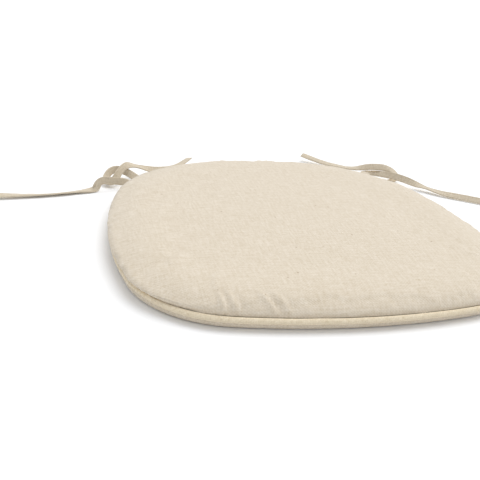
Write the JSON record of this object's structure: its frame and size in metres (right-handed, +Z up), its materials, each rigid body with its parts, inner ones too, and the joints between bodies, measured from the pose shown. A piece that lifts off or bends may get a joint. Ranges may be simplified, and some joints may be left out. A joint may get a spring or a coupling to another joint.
{
  "type": "tie-on seat cushion",
  "caption": "Thin seat cushion with a gently crowned woven cover, self-fabric piping all round, a back zip and fabric ties at the two back corners.",
  "frame": {"origin": "centre of the flat underside, on the surface that the pad rests on", "axes": "+Z up through the pad, +Y to the back edge with the zip and the ties, +X to the right seen from the front"},
  "size_m": [0.6523, 0.4536, 0.0279],
  "materials": {
    "linen": "natural plain-woven cotton and linen, matt",
    "tie_tape": "folded and stitched strap of the cover's cloth",
    "filler_cord": "twisted cotton cord",
    "foam": "polyurethane foam",
    "wadding": "bonded polyester wadding",
    "thread": "spun polyester thread",
    "zip_tape": "woven polyester tape",
    "zip_coil": "nylon coil",
    "zip_metal": "cast zinc, antique brass plated"
  },
  "bodies": {
    "pad": {"top_panel": "linen", "bottom_panel": "linen", "piping_cover": "linen", "piping_cord": "filler_cord", "foam_core": "foam", "wadding_top": "wadding", "wadding_bottom": "wadding", "tie_tacks": "thread", "zip_tape_upper": "zip_tape", "zip_tape_lower": "zip_tape", "zip_row_upper": "zip_coil", "zip_row_lower": "zip_coil", "zip_stops": "zip_metal"},
    "zip_slider": {"zip_slider": "zip_metal"},
    "zip_pull": {"zip_pull": "zip_metal"},
    "left_ties": {"left_tie_long": "tie_tape", "left_tie_short": "tie_tape"},
    "right_ties": {"right_tie_long": "tie_tape", "right_tie_short": "tie_tape"}
  },
  "joints": [
    {"name": "zip_travel", "type": "hinge", "parent": "pad", "child": "zip_slider", "pos_m": [0, -0.04275, 0], "axis": [0, 0, 1], "range_deg": [0, 42.7]},
    {"name": "pull_swing", "type": "hinge", "parent": "zip_slider", "child": "zip_pull", "pos_m": [0.08759, 0.18075, 0], "axis": [0, 0, 1], "range_deg": [-150, 0]},
    {"name": "left_ties_swing", "type": "hinge", "parent": "pad", "child": "left_ties", "pos_m": [-0.1431, 0.1458, 0], "axis": [0, 0, 1], "range_deg": [-5, 20]},
    {"name": "right_ties_swing", "type": "hinge", "parent": "pad", "child": "right_ties", "pos_m": [0.1431, 0.1458, 0], "axis": [0, 0, 1], "range_deg": [-20, 5]}
  ]
}
